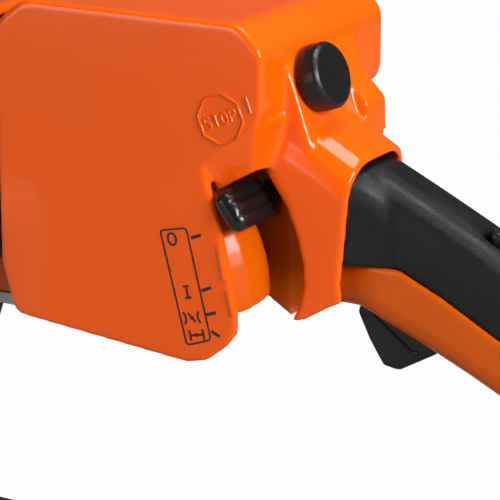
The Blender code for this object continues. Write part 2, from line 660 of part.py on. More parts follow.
def recess(name):
    """Two sloped faces behind the lever's rest, from the side panel's edge to the tower and the hood."""
    edge = [(210.6, -44.6, 178.6), (232.8, -44.6, 195.9), (235.6, -27.5, 197.5), (231, -27.6, 177),
            (227, -37.5, 176.2), (212.5, -38.5, 167.6)]
    back = [(x - 1.6, y + 2.6, z + 0.9) for x, y, z in edge]
    sides = [(i, (i + 1) % 6, 6 + (i + 1) % 6, 6 + i) for i in range(6)]
    front = [(0, 1, 4, 5), (1, 2, 3, 4)]
    rear = [(6, 11, 10, 7), (7, 10, 9, 8)]
    return piece(name, edge + back, front + rear + sides)


def tilted(name, profile, count, **look):
    """Body of revolution on the twist lock's axis, which leans with the sloped face it sits on."""
    body = lathe(name, profile, axis="X", count=count, **look)
    turn = np.array([[math.cos(LATCH_TILT), 0, -math.sin(LATCH_TILT)], [0, 1, 0],
                     [math.sin(LATCH_TILT), 0, math.cos(LATCH_TILT)]])
    for vertex in body.data.vertices:
        vertex.co = Vector(turn @ np.array(vertex.co))
    body.location = Vector(LATCH) * MM
    return body


def arch_loft(name, stations, half, radius, foot):
    """Loft along X over round-shouldered arches: stations are (x, height of the crown)."""
    rings = []
    for x, crown in stations:
        arch = [(HOOD_Y - half, foot), (HOOD_Y - half, crown, radius), (HOOD_Y + half, crown, radius),
                (HOOD_Y + half, foot)]
        rings.append([(x, a, b) for a, b in rounded(arch, 0, 4)])
    return piece(name, [p for ring in rings for p in ring], ring_faces(len(rings), len(rings[0])))


def hood_body(name):
    """Hood round the handle's root: its left side ends in a curved front edge above the lever's slot."""
    body = arch_loft(name, [(226, 200), (236, 196.5), (248, 190.5), (268, 179.5)], HOOD_HALF, 16, 114)
    front = [(215, 178), (225, 177.5), (228, 173), (235.2, 162.7), (239.4, 153.1), (242.3, 142.2), (242.8, 132.7),
             (240.8, 125.9), (238.3, 120.4), (236, 108), (215, 108)]
    cut_prism(body, front, -45, SLOT_RIGHT)
    rear = [(236, 118.5), (243.3, 120.6), (253.6, 127), (258.8, 129.6), (257.8, 136), (259.4, 152), (261, 171),
            (263, 183), (266, 200), (310, 200), (310, 90), (236, 90)]
    cut_prism(body, rear, -45, 40)
    cut_block(body, (200, SLOT_RIGHT, 100), (229.6, 40, 176))
    soften(body, 2.3, 3, 38)
    return body


def hood_room(name):
    """Space inside the hood for the neck of the handle."""
    return arch_loft(name, [(222, 178.5), (237, 180), (243, 181), (248, 187.4), (272, 174.2)], HOOD_HALF - 2.6, 13.5, 90)


# ---------------------------------------------------------------- rear handle

# Stations of the rear handle: top x, top z, bottom x, bottom z, half width, share of the lower shell
STATIONS = [(241.5, 177, 241.5, 121.5, 13, 0.31), (252, 178, 251, 123.5, 14, 0.31), (263, 177.2, 258.5, 123.8, 15, 0.33),
            (283, 167.8, 269, 119.3, 15, 0.46), (303, 158, 285, 112.8, 15, 0.46), (323, 147.3, 303, 104.8, 15, 0.44),
            (342, 135, 320, 96.5, 15, 0.45), (359, 119.5, 333, 88, 15, 0.46), (372, 101, 343, 77, 15, 0.47),
            (379, 81, 349, 66, 15, 0.47)]


def section(station, low, high, half_width, corner_low, corner_high):
    """Ring of one handle section between two heights in millimetres above its lowest point."""
    top = Vector((station[0], station[1]))
    foot = Vector((station[2], station[3]))
    up = (top - foot).normalized()
    corners = [(-half_width, low, corner_low), (half_width, low, corner_low),
               (half_width, high, corner_high), (-half_width, high, corner_high)]
    ring = []
    for a, b in rounded(corners, 0, 3):
        here = foot + up * b
        ring.append((here.x, HANDLE_Y + a, here.y))
    return ring


def handle_skin(name, first, last, low_of, high_of, corner_low, corner_high, inset=0.0, **look):
    """Loft over the handle's stations; heights are functions of the section's height and shell share."""
    rings = []
    for station in STATIONS[first:last]:
        tall = math.hypot(station[0] - station[2], station[1] - station[3])
        part = tall * station[5]
        rings.append(section(station, low_of(tall, part), high_of(tall, part), station[4] - inset,
                             corner_low, corner_high))
    count = len(rings[0])
    points = [p for ring in rings for p in ring]
    return piece(name, points, ring_faces(len(rings), count), **look)


def make_handle_housing():
    """Air box with the lever's drum wall, the neck, and the lower shell of the rear handle."""
    px, _, pz = LEVER_PIVOT
    left = [(124, 112), (206, 112), (206, 150), (190, 153.8), (124, 153.8)]
    housing = prism("handle_housing", left, -41.6, SLOT_LEFT, colour=ORANGE, roughness=0.3)
    drum = lathe("add_drum", [(0, -41.5), (42, -41.5), (46.5, -36), (DRUM_R, -29), (DRUM_R, -21.8), (0, -21.8)],
                 centre=(px, 0, pz), count=48)
    cut_prism(drum, [(-60, 118.5), (-10, 128.5), (-10, 60), (-60, 60)], 100, 260, axis="X")
    cut_block(drum, (100, -60, 165), (260, 0, 250))
    cut_block(drum, (100, -60, 60), (170, 0, 250))
    combine(housing, drum, "UNION")
    right = [(66, 112.2), (204.8, 112.2), (216, 123.2), (229, 115.2), (229, 172), (226, 172), (224, 154.2), (124.4, 154.2), (66, 123.3)]
    add_prism(housing, right, SLOT_RIGHT, COVER_RIGHT - 3.4)
    add_prism(housing, [(66.6, 112.4), (125.5, 112.4), (125.5, 126), (66.6, 126)], -34, SLOT_RIGHT + 2)
    add_prism(housing, [(124.7, 112.6), (204.4, 112.6), (204.4, 125), (160, 125), (160, 153.5), (124.7, 153.5)],
              SLOT_LEFT - 1.3, SLOT_RIGHT + 1.3)
    shell = handle_skin("add_shell", 0, 10, lambda tall, part: 0, lambda tall, part: part, 8, 0.8)
    combine(housing, shell, "UNION")
    throat = handle_skin("add_throat", 0, 2, lambda tall, part: part - 2, lambda tall, part: tall, 0.8, 9)
    combine(housing, throat, "UNION")
    root = prism("add_root", [(224, 118), (244, 121.7), (244, 174), (224, 174)], SLOT_RIGHT + 0.4, 10)
    combine(housing, root, "UNION")
    floor = 115.5
    cut_block(housing, (127.3, -38.6, floor + 0.2), (187, -24.8, 171))
    pocket = lathe("cut_pocket", [(0, -38.4), (DRUM_R - 7.5, -38.4), (DRUM_R - 3.2, -31), (DRUM_R - 3.2, -24.5),
                                  (0, -24.5)], centre=(px, 0, pz), count=32)
    cut_block(pocket, (100, -60, 60), (260, 0, floor + 0.6))
    combine(housing, pocket)
    cut_block(housing, (127.1, -30, floor + 0.3), (157, -8, 172))
    cut_block(housing, (69.2, -31.2, floor + 0.1), (126.3, 42.3, 173))
    cut_block(housing, (120.5, -9.4, floor), (224.6, 42.5, 190))
    sector = circle(LEVER_REACH + 7.2, (px, pz), 16, math.radians(-21), math.radians(50))
    cut_prism(housing, sector + [(px + 4, pz + 9), (px - 9, pz + 9), (px - 9, pz - 9), (px + 4, pz - 9)],
              SLOT_LEFT - 0.6, SLOT_RIGHT - 0.2)
    inside = handle_skin("cut_inside", 1, 9, lambda tall, part: 3.2, lambda tall, part: part + 6, 5, 0.8, inset=3)
    inside.location.x -= 1.6 * MM
    combine(housing, inside)
    cut_block(housing, (236, -11.4, 131), (262, 7.3, 171))
    cut_block(housing, (253, -9.6, 90), (297, 5.6, 134))
    cut_round(housing, (0, 3.0, 146), 2.4, 150, 250, axis="X", count=10)
    cut_round(housing, (px, 0, pz), 2.8, -27, -6, count=12)


def make_grip():
    """Soft grip over the upper half of the handle, with the slot for the throttle lock."""
    grip = handle_skin("grip_cover", 2, 10, lambda tall, part: part + GAP, lambda tall, part: tall, 0.8, 11,
                       colour=(0.03, 0.03, 0.033), roughness=0.55)
    flange = [(252.6, 142, 179.5, 19.0), (257, 142, 179, 18.8), (262, 142, 177.4, 17.4), (274, 142, 169, 14.6)]
    rings = []
    for x, foot, crown, half in flange:
        mid = HOOD_Y + (x - 252.6) * 0.2
        arch = [(mid - half, foot, 1), (mid + half, foot, 1), (mid + half, crown, 12), (mid - half, crown, 12)]
        rings.append([(x, a, b) for a, b in rounded(arch, 0, 3)])
    combine(grip, piece("add_flange", [p for ring in rings for p in ring], ring_faces(4, len(rings[0]))), "UNION")
    tube = handle_skin("cut_grip", 1, 9, lambda tall, part: part - 3, lambda tall, part: tall - 4.5, 2, 7, inset=5.0)
    combine(grip, tube)
    slot = [(304, 120), (352, 108), (372, 130), (330, 175), (304, 175)]
    cut_prism(grip, slot, HANDLE_Y - 5, HANDLE_Y + 5)


def make_rear_guard():
    """Rear end of the handle with its foot, and the hand guard strip that runs to the crankcase."""
    path = [(379.2, 80.3, 349.2, 65.3, 15), (380, 62, 352, 57, 14.5), (380, 40, 354, 42, 14.5),
            (377, 18, 352, 26, 14.5), (370, 6, 350, 12, 14.5)]
    rings = []
    for station in path:
        tall = math.hypot(station[0] - station[2], station[1] - station[3])
        rings.append(section(station, 0, tall, station[4], 6, 6))
    count = len(rings[0])
    guard = piece("rear_guard", [p for ring in rings for p in ring], ring_faces(len(rings), count),
                  colour=BLACK, roughness=0.5)
    foot = rounded([(CASE_REAR + GAP, 0, 0), (372, 0, 4), (377, 12, 5), (356, 22, 5), (330, GUARD_THICK, 8),
                    (CASE_REAR + GAP, GUARD_THICK, 0)], 4, 3)
    add_prism(guard, foot, -32, -3)
    cut_block(guard, (330, -60, -20), (400, 20, 0))


def make_trigger():
    tx, _, tz = TRIGGER_PIVOT
    outline = rounded([(tx - 5, tz + 3, 3), (tx - 6, tz - 6, 3), (254.6, 120, 2), (259.5, 110, 4), (265.5, 100.6, 2.5),
                       (272, 99.8, 2), (287, 108.6, 4), (290.5, 114, 3), (284, 124, 4), (tx + 8, tz + 3, 4),
                       (tx + 4, tz + 17, 2), (tx - 4, tz + 17, 2)], 2, 2)
    trigger = prism("throttle_trigger", outline, HANDLE_Y - 6.5, HANDLE_Y + 6.5, colour=BLACK, roughness=0.45,
                    origin=TRIGGER_PIVOT)
    soften(trigger, 1.2, 1, 50)
    cut_round(trigger, (tx, 0, tz), 2.3, -20, 10, count=12)
    lathe("trigger_spring", [(2.4, 4.9), (3.8, 4.9), (3.8, 7.2), (2.4, 7.2)], centre=(tx, 0, tz), count=14,
          colour=STEEL, roughness=0.3, metallic=1.0)
    ix, _, iz = INTERLOCK_PIVOT
    lock = rounded([(ix - 5, iz - 4, 3), (318, 131, 3), (334, 120.5, 3), (341, 125, 3), (346, 136, 5),
                    (337, 146.5, 8), (325, 153.6, 6), (306.5, 159, 2)], 2, 2)
    lever = prism("throttle_lock", lock, HANDLE_Y - 4.4, HANDLE_Y + 4.4, colour=BLACK, roughness=0.4,
                  origin=INTERLOCK_PIVOT)
    soften(lever, 1.0, 1, 50)
    cut_round(lever, (ix, 0, iz), 2.3, -20, 10, count=12)
    for name, (x, _, z) in (("trigger_pin", TRIGGER_PIVOT), ("lock_pin", INTERLOCK_PIVOT)):
        rod(name, (x, HANDLE_Y - 4.9, z), (x, HANDLE_Y + 4.9, z), 2.0, 10, colour=STEEL, roughness=0.3, metallic=1.0)
    rod("throttle_rod", (162, 3.0, 146), (257.5, 3.0, 146), 1.2, 8, colour=STEEL, roughness=0.3, metallic=1.0)


def make_master_lever():
    """Lever with the knob at its free end; the arm runs in the slot beside the drum wall."""
    px, _, pz = LEVER_PIVOT
    out = Vector((math.cos(LEVER_REST), math.sin(LEVER_REST)))
    along = Vector((-out.y, out.x))
    centre = Vector((px, pz))

    def at(radial, tangential):
        return tuple(centre + out * radial + along * tangential)

    reach = LEVER_REACH
    knob = rounded([at(reach - 3.8, -8.6), at(reach + 5.2, -8.6), at(reach + 5.2, 7.5), at(reach - 3.8, 7.5)], 4.0, 3)
    lever = prism("master_lever", knob, -48, -14.5, colour=BLACK, roughness=0.3, origin=LEVER_PIVOT)
    soften(lever, 2.4, 3, 60)
    arm = [at(-6, -5), at(4, -6), at(reach + 4, -6), at(reach + 4, 6), at(4, 6), at(-6, 5)]
    add_prism(lever, rounded(arm, 3, 2), -20.4, -13.6)
    cut_round(lever, (px, 0, pz), 2.8, -25, -10, count=12)
    rod("lever_shaft", (px, -24.3, pz), (px, -9.7, pz), 2.5, 12, colour=STEEL, roughness=0.3, metallic=1.0)


# ---------------------------------------------------------------- fuel system

def make_fuel_system():
    tank = prism("fuel_tank", [(-33, 107), (-4, 98), (42, 82), (44, 111.6), (-33, 111.6)], 88, 165, axis="X",
                 colour=(0.55, 0.55, 0.52), roughness=0.45)
    cut_round(tank, (120, 0, 97), 9.0, 30, 60, count=16)
    lathe("fuel_cap", [(0, 36), (8.6, 36), (8.6, 45), (14, 45), (14, 53), (12, 55), (0, 55)], centre=(120, 0, 97),
          count=18, colour=BLACK, roughness=0.45, origin=(120, 44, 97))
    lathe("oil_cap", [(0, -84), (11, -84), (13, -82), (13, -74.4), (0, -74.4)], centre=(0, -16, 30), axis="X",
          count=18, colour=BLACK, roughness=0.45, origin=(-74.4, -16, 30))
    carb = block("carburettor", (128, -7.5, 120), (158, 24, 160), 1.5, colour=ALLOY, roughness=0.4, metallic=0.9)
    cut_round(carb, (0, 8, INTAKE_Z), 9.2, 120, 170, axis="X", count=20)
    cut_round(carb, (150, 0, INTAKE_Z), 1.8, -12, 30, count=10)
    flap = lathe("choke_flap", [(0, 149.4), (8.8, 149.4), (8.8, 150.6), (0, 150.6)], centre=(0, 8, INTAKE_Z), axis="X",
                 count=16, colour=STEEL, roughness=0.3, metallic=1.0, origin=(150, 8, INTAKE_Z))
    shaft = rod("add_shaft", (150, -8.6, INTAKE_Z), (150, 26, INTAKE_Z), 1.5, 8)
    combine(flap, shaft, "UNION")
    flap.rotation_euler.y = math.radians(68.6)
    boot = [(43.4, 0.0), (60, 0.5), (80, 4.0), (104, 7.5), (127.6, 8.0)]
    outer = sweep("intake_boot", [(x, y, INTAKE_Z) for x, y in boot], 12.5, 16, colour=BLACK, roughness=0.7)
    bore = sweep("cut_boot", [(x, y, INTAKE_Z) for x, y in [(40, 0.0)] + boot[1:-1] + [(131, 8.0)]], 9.2, 14)
    combine(outer, bore)
    filt = block("air_filter", (128, -30, 166), (196, 36, 216), 5, colour=(0.75, 0.74, 0.68), roughness=0.9)
    cut_block(filt, (138, -20, 160), (186, 26, 206))


# ---------------------------------------------------------------- front handle and guard

def make_front_handle():
    """Bent tube handle from the left foot over the top to the right side."""
    route = [(20, -103.2, 34), (22, -103, 80), (22, -103, 150), (16, -98, 214), (6, -80, 248), (0, -50, 262),
             (-2, 0, 264), (0, 45, 262), (4, 72, 246), (8, 84, 214), (10, 86, 170), (10, 86, 136)]
    tube = sweep("front_handle", smooth_path(route, 3), 10.5, 12, colour=(0.025, 0.025, 0.028), roughness=0.6)
    combine(tube, block("add_foot", (11, STARTER_FACE - GAP, 22), (31, -111, 42)), "UNION")
    combine(tube, block("add_foot", (0, CLUTCH_FACE + GAP, 112), (20, 96, 142)), "UNION")


def make_hand_guard():
    """Front hand guard, which is also the chain brake's lever."""
    gx, _, gz = GUARD_PIVOT
    arm = [(gx - 8, gz - 8, 6), (gx + 8, gz - 8, 6), (gx + 7, gz + 30, 6), (gx - 20, 262, 8), (gx - 28, 280, 5),
           (gx - 36, 276, 5), (gx - 26, 236, 10), (gx - 9, gz + 30, 8)]
    plate = prism("hand_guard", rounded(arm, 6, 2), -60, 62, colour=BLACK, roughness=0.45, origin=GUARD_PIVOT)
    cut_block(plate, (-120, -55, 130), (40, 57, 238))
    soften(plate, 2.5, 1, 60)
    for side in (-60, 57):
        cut_round(plate, (gx, 0, gz), 3.4, side - 3, side + 8, count=12)


def make_buffer():
    """Rubber buffer between the engine and the handle housing."""
    lathe("vibration_buffer", [(0, 98.2), (9, 98.2), (7, 104), (9, 111.6), (0, 111.6)], centre=(78, -20, 0),
          axis="Z", count=14, colour=BLACK, roughness=0.7)


clear_scene()
make_crankcase()
make_crankshaft()
make_piston_group()
make_cylinder()
make_ignition()
make_muffler()
make_flywheel()
make_starter()
make_clutch()
make_clutch_cover()
make_bar()
make_shroud()
make_cover()
make_handle_housing()
make_grip()
make_rear_guard()
make_trigger()
make_master_lever()
make_fuel_system()
make_front_handle()
make_hand_guard()
make_buffer()
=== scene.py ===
"""Petrol chainsaw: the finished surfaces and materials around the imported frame."""

import json
import math

import bmesh
import bpy
import numpy as np
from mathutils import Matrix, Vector


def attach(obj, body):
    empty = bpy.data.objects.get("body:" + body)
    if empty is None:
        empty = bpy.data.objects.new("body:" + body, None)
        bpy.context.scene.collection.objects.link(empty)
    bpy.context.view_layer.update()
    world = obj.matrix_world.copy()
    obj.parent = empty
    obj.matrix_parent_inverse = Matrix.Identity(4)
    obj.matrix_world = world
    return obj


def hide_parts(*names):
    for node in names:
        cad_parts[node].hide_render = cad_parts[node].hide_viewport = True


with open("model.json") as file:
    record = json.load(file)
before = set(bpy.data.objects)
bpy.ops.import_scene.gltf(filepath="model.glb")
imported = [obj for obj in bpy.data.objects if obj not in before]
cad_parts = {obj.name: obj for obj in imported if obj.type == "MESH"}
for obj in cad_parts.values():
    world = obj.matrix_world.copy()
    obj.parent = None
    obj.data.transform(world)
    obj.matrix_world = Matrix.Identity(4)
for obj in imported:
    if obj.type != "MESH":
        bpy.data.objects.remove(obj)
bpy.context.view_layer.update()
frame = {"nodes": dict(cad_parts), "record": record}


# ---------------------------------------------------------------- carburettor cover
# One injection moulding in glossy orange plastic: two side panels, the top, the rear wall and the hood that
# wraps the root of the rear handle. It drops over the carburettor and the twist lock at its rear holds it.

MM = 0.001
PANEL_Y = -45.0                      # outer face of the left side panel, mm
COVER_GRAIN = 0.75 * MM              # cell size of the even mesh on the large mouldings
ORANGE = (0.86, 0.098, 0.0004)


def skin(node):
    """Points and triangles of a CAD node, where points at one place are made one point."""
    mesh = frame["nodes"][node].data
    points = np.empty(len(mesh.vertices) * 3)
    mesh.vertices.foreach_get("co", points)
    corners = np.empty(len(mesh.loops), int)
    mesh.loops.foreach_get("vertex_index", corners)
    points = points.reshape(-1, 3)
    _, first, index = np.unique(np.round(points, 6), axis=0, return_index=True, return_inverse=True)
    faces = index.reshape(-1)[corners].reshape(-1, 3)
    whole = (faces[:, 0] != faces[:, 1]) & (faces[:, 1] != faces[:, 2]) & (faces[:, 0] != faces[:, 2])
    return points[first], faces[whole]


def surface(name, points, faces, body, finish):
    """New piece from points in metres and faces, riding on a body, with its finish."""
    mesh = bpy.data.meshes.new(name)
    mesh.from_pydata(points.tolist(), [], faces if isinstance(faces, list) else faces.tolist())
    mesh.update()
    mesh.shade_smooth()
    mesh.materials.append(finish)
    piece = bpy.data.objects.new(name, mesh)
    bpy.context.scene.collection.objects.link(piece)
    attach(piece, body)
    return piece


def settled(piece):
    """The piece with its modifiers worked into its mesh."""
    graph = bpy.context.evaluated_depsgraph_get()
    made = bpy.data.meshes.new_from_object(piece.evaluated_get(graph))
    made.shade_smooth()
    piece.modifiers.clear()
    piece.data = made
    return piece


def body_of(node):
    """Name of the moving body that a CAD node belongs to."""
    bodies = frame["record"]["behaviour"]["bodies"]
    return next(body for body, members in bodies.items() if node in members)


def moulded(node, name, finish, grain, passes, keep=1.0):
    """The node's own walls as a moulding: an even mesh with cells as wide as the grain, then every point
    moved half way to the mean of its neighbours, and that again for each pass, which turns sharp edges into
    the small radii of a mould. Keep is the share of triangles left after flat stretches are thinned."""
    points, faces = skin(node)
    piece = surface(name, points, faces, body_of(node), finish)
    remesh = piece.modifiers.new("even_mesh", "REMESH")
    remesh.mode = "VOXEL"
    remesh.voxel_size = grain
    ease = piece.modifiers.new("radii", "SMOOTH")
    ease.factor = 0.5
    ease.iterations = passes
    if keep < 1:
        thin = piece.modifiers.new("fewer_faces", "DECIMATE")
        thin.ratio = keep
    settled(piece)
    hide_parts(node)
    return piece


def plastic(name, colour, rough, peel=0.25, speckle=0.06, coat=0.0, grain=900.0, shine=0.4):
    """Moulded plastic: the colour drifts by the share in speckle over the part, fine bumps, as strong as
    peel, and a slow waviness lift the surface, and faint rubbed patches change the gloss."""
    finish = bpy.data.materials.new(name)
    finish.use_nodes = True
    nodes, links = finish.node_tree.nodes, finish.node_tree.links
    shader = nodes["Principled BSDF"]
    shader.inputs["Specular IOR Level"].default_value = shine
    shader.inputs["Coat Weight"].default_value = coat
    shader.inputs["Coat Roughness"].default_value = 0.06
    place = nodes.new("ShaderNodeTexCoord")

    def noise(scale, detail):
        made = nodes.new("ShaderNodeTexNoise")
        made.inputs["Scale"].default_value = scale
        made.inputs["Detail"].default_value = detail
        links.new(place.outputs["Object"], made.inputs["Vector"])
        return made.outputs["Fac"]

    drift = nodes.new("ShaderNodeMixRGB")
    drift.inputs[1].default_value = (*[c * (1 - speckle) for c in colour], 1)
    drift.inputs[2].default_value = (*[min(1, c * (1 + speckle)) for c in colour], 1)
    links.new(noise(scale=38, detail=4), drift.inputs[0])
    links.new(drift.outputs[0], shader.inputs["Base Color"])
    gloss = nodes.new("ShaderNodeMapRange")
    gloss.inputs["From Min"].default_value = 0.35
    gloss.inputs["From Max"].default_value = 0.7
    gloss.inputs["To Min"].default_value = rough * 0.85
    gloss.inputs["To Max"].default_value = min(1.0, rough * 1.3)
    links.new(noise(scale=65, detail=6), gloss.inputs["Value"])
    links.new(gloss.outputs[0], shader.inputs["Roughness"])
    fine = nodes.new("ShaderNodeBump")
    fine.inputs["Strength"].default_value = peel
    fine.inputs["Distance"].default_value = 0.00012
    links.new(noise(scale=grain, detail=3), fine.inputs["Height"])
    wave = nodes.new("ShaderNodeBump")
    wave.inputs["Strength"].default_value = 0.25
    wave.inputs["Distance"].default_value = 0.0004
    links.new(noise(scale=45, detail=1), wave.inputs["Height"])
    links.new(fine.outputs[0], wave.inputs["Normal"])
    links.new(wave.outputs[0], shader.inputs["Normal"])
    return finish


cover_orange = plastic("cover_orange", ORANGE, rough=0.15, peel=0.05, speckle=0.05, coat=0.18, shine=0.28)
moulded("carburettor_cover", "cover_moulding", cover_orange, COVER_GRAIN, passes=22,
         keep=0.24)


# ---------------------------------------------------------------- stop sign and ribs on the cover
# Raised in the mould itself: an octagon with the word round the direction for stopping the engine, a short
# bar beside it, and two ribs on the panel's rear rim. Same plastic as the cover.

SIGN = (217.9, 197.0)                # middle of the octagon, x and z in mm
SIGN_R = 9.5
LETTER_H = 4.3
LETTER_W = 2.45
LETTER_GAP = 1.3
WORD_SLANT = 22.5                    # degrees, along two of the octagon's sides
SIGN_BAR = ((228.3, 206.4), (230.4, 201.0))
RIM_RIBS = (((216.6, 149.5), (218.9, 137.0)), ((220.6, 133.0), (222.6, 123.5)))
SIGN_LINE = (0.9, 0.62)              # width and height of a raised line
RIB_LINE = (3.6, 1.5)
RIB_Y = PANEL_Y + 0.9                # the ribs stand on this plane, so only their crowns show
SUNK = 0.3                           # depth of a raised stroke's foot below its plane
CREASE = math.radians(50)            # a stroke's edge that turns more than this looks sharp


def arc(a, b, radius_a, radius_b, start, stop, count=10):
    """Ellipse arc: centre plus the two radii times cosine and sine, between two angles in degrees."""
    t = np.radians(np.linspace(start, stop, count))
    return np.stack([a + radius_a * np.cos(t), b + radius_b * np.sin(t)], 1)


def placed(path, centre, degrees):
    """A flat path turned about its origin and moved to centre."""
    t = math.radians(degrees)
    turn = np.array([[math.cos(t), math.sin(t)], [-math.sin(t), math.cos(t)]])
    return np.asarray(path, float) @ turn + centre


def letters(word):
    """Strokes of the word, middle on the origin, each letter from straight runs and arcs."""
    w, h = LETTER_W / 2, LETTER_H / 2
    upper_bow = arc(0, h / 2, w, h / 2, 20, 270)
    lower_bow = arc(0, -h / 2, w, h / 2, 90, -160)
    shapes = {
        "S": [(np.vstack([upper_bow, lower_bow[1:]]), False)],
        "T": [(np.array([(-w, h), (w, h)]), False), (np.array([(0, h), (0, -h)]), False)],
        "O": [(arc(0, 0, w, h, 0, 342, 20), True)],
        "P": [(np.vstack([[(-w, -h), (-w, h)], arc(0, h / 2, w, h / 2, 90, -90), [(-w, 0)]]), False)],
    }
    step = LETTER_W + LETTER_GAP
    first = -step * (len(word) - 1) / 2
    return [(path + (first + i * step, 0), closed)
            for i, letter in enumerate(word) for path, closed in shapes[letter]]


def tube_faces(rows, count, closed=False):
    """Faces over rows of count points, where each row is a ring: four-sided ones from each row to the next,
    and from the last to the first when closed, or else the two end rings as faces."""
    a, b = np.meshgrid(np.arange(rows if closed else rows - 1), np.arange(count), indexing="ij")
    ahead, beside = (a + 1) % rows, (b + 1) % count
    quads = np.stack([a * count + b, a * count + beside, ahead * count + beside, ahead * count + b], -1)
    faces = quads.reshape(-1, 4).tolist()
    if not closed:
        faces.append(list(range(count))[::-1])
        faces.append(list(range((rows - 1) * count, rows * count)))
    return faces


def carried(path, profile, closed):
    """Points in mm and faces of a profile carried along a path in the plane of a side face. The path is
    (x, z) pairs; the profile is (across, out) pairs, and out runs towards -Y. Each profile point stands at
    path + across * side, where side is the path's direction turned a quarter turn and lengthened at a
    corner by 1 / cosine of half its angle."""
    path = np.asarray(path, float)
    before = np.roll(path, 1, 0) if closed else np.vstack([path[:1] * 2 - path[1:2], path[:-1]])
    after = np.roll(path, -1, 0) if closed else np.vstack([path[1:], path[-1:] * 2 - path[-2:-1]])
    inward = path - before
    onward = after - path
    inward /= np.linalg.norm(inward, axis=1)[:, None]
    onward /= np.linalg.norm(onward, axis=1)[:, None]
    mean = inward + onward
    mean /= np.linalg.norm(mean, axis=1)[:, None]
    mitre = 1 / np.maximum(0.5, (mean * onward).sum(1))
    side = np.stack([-mean[:, 1], mean[:, 0]], 1) * mitre[:, None]
    profile = np.asarray(profile, float)
    flat = path[:, None, :] + side[:, None, :] * profile[None, :, :1]
    out = np.broadcast_to(-profile[None, :, 1], flat.shape[:2])
    points = np.stack([flat[..., 0], out, flat[..., 1]], -1)
    return points.reshape(-1, 3), tube_faces(len(path), len(profile), closed)


def outward(piece):
    """The piece with all its faces turned to point out."""
    shell = bmesh.new()
    shell.from_mesh(piece.data)
    bmesh.ops.recalc_face_normals(shell, faces=shell.faces)
    shell.to_mesh(piece.data)
    shell.free()
    return piece


def drawn(name, strokes, width, height, face_y, body, slot, finish):
    """Strokes on a side face as one piece, each a (path, closed) pair: half an ellipse, as wide as the stroke
    and as tall as its height, on a foot sunk in the wall, carried along the path."""
    turn = np.linspace(0, math.pi, 5)
    crown = np.stack([width / 2 * np.cos(turn), height * np.sin(turn)], 1)
    profile = np.vstack([[(width / 2, -SUNK)], crown, [(-width / 2, -SUNK)]])
    points, faces = [], []
    start = 0
    for path, closed in strokes:
        more, corners = carried(path, profile, closed)
        points.append(more + (0, face_y, 0))
        faces += [[i + start for i in face] for face in corners]
        start += len(more)
    piece = outward(surface(name, np.vstack(points) * MM, faces, body, finish))
    piece.data.set_sharp_from_angle(angle=CREASE)


sign = [(arc(*SIGN, SIGN_R, SIGN_R, 0, 315, 8), True), (SIGN_BAR, False)]
sign += [(placed(path, SIGN, WORD_SLANT), closed) for path, closed in letters("STOP")]
drawn("stop_sign", sign, *SIGN_LINE, PANEL_Y, "crankcase", "orange_cover", cover_orange)
ribs = [(line, False) for line in RIM_RIBS]
drawn("rim_ribs", ribs, *RIB_LINE, RIB_Y, "crankcase", "orange_cover", cover_orange)


# ---------------------------------------------------------------- lever label
# Dark brown ink printed on the panel beside the master lever: stop, run, half throttle and choke in a
# rounded box, with a tick outside the box at each of the lever's places.

LABEL_TILT = 13                      # degrees, as the panel's rear rim leans
INK_Y = PANEL_Y - 0.05               # the ink stands just proud of the panel
BOX_CORNERS = np.array([(191.9, 151.8), (203.1, 154.3), (213.4, 112.9), (203.1, 109.1)])
BOX_RADIUS = 1.6
DOT_R = 0.35
STOP_AT, RUN_AT, HALF_AT, CHOKE_AT = (197.0, 149.2), (203.3, 129.8), (205.3, 120.2), (207.4, 113.8)
TICKS = (((205.2, 150.8), (209.4, 152.6)), ((209.6, 131.3), (213.6, 133.2)), ((211.6, 122.4), (215.6, 123.8)),
         ((213.6, 116.3), (217.2, 114.9)))


def round_corners(corners, radius, steps=5):
    """Closed outline whose corners are parabolas, radius long on each side of the corner."""
    to_before = np.roll(corners, 1, 0) - corners
    to_after = np.roll(corners, -1, 0) - corners
    start = corners + to_before * (radius / np.linalg.norm(to_before, axis=1))[:, None]
    end = corners + to_after * (radius / np.linalg.norm(to_after, axis=1))[:, None]
    t = np.linspace(0, 1, steps)[None, :, None]
    bend = start[:, None] * (1 - t) ** 2 + corners[:, None] * 2 * t * (1 - t) + end[:, None] * t ** 2
    return bend.reshape(-1, 2)


stop_ring = arc(0, 0, 1.75, 2.2, 0, 345, 24)
run_strokes = ([(0, -2.2), (0, 2.2)], [(-1.3, 2.2), (1.3, 2.2)], [(-1.3, -2.2), (1.3, -2.2)])
half_strokes = (arc(-5.2, 0, 2.6, 3.0, 48, -48), arc(5.2, 0, 2.6, 3.0, 132, 228), [(-1.3, 1.8), (1.3, -1.8)])
choke_strokes = ([(-2.9, -2), (-2.9, 2)], [(2.9, -2), (2.9, 2)], [(-2.9, 0), (2.9, 0)])
signs = [(placed(stop_ring, STOP_AT, LABEL_TILT), True)]
for strokes, at in ((run_strokes, RUN_AT), (half_strokes, HALF_AT), (choke_strokes, CHOKE_AT)):
    signs += [(placed(stroke, at, LABEL_TILT), False) for stroke in strokes]
dots = [(arc(*at, DOT_R, DOT_R, 0, 300, 6), True) for at in (HALF_AT, CHOKE_AT)]
label_ink = plastic("label_ink", (0.020, 0.007, 0.004), rough=0.4, peel=0.2, speckle=0.3)
for name, strokes, width, height in (
        ("label_box", [(round_corners(BOX_CORNERS, BOX_RADIUS), True)], 0.75, 0.06),
        ("label_signs", signs, 0.9, 0.06),
        ("label_dots", dots, 0.9, 0.07),
        ("label_ticks", [(tick, False) for tick in TICKS], 1.25, 0.06)):
    drawn(name, strokes, width, height, INK_Y, "crankcase", "orange_cover", label_ink)
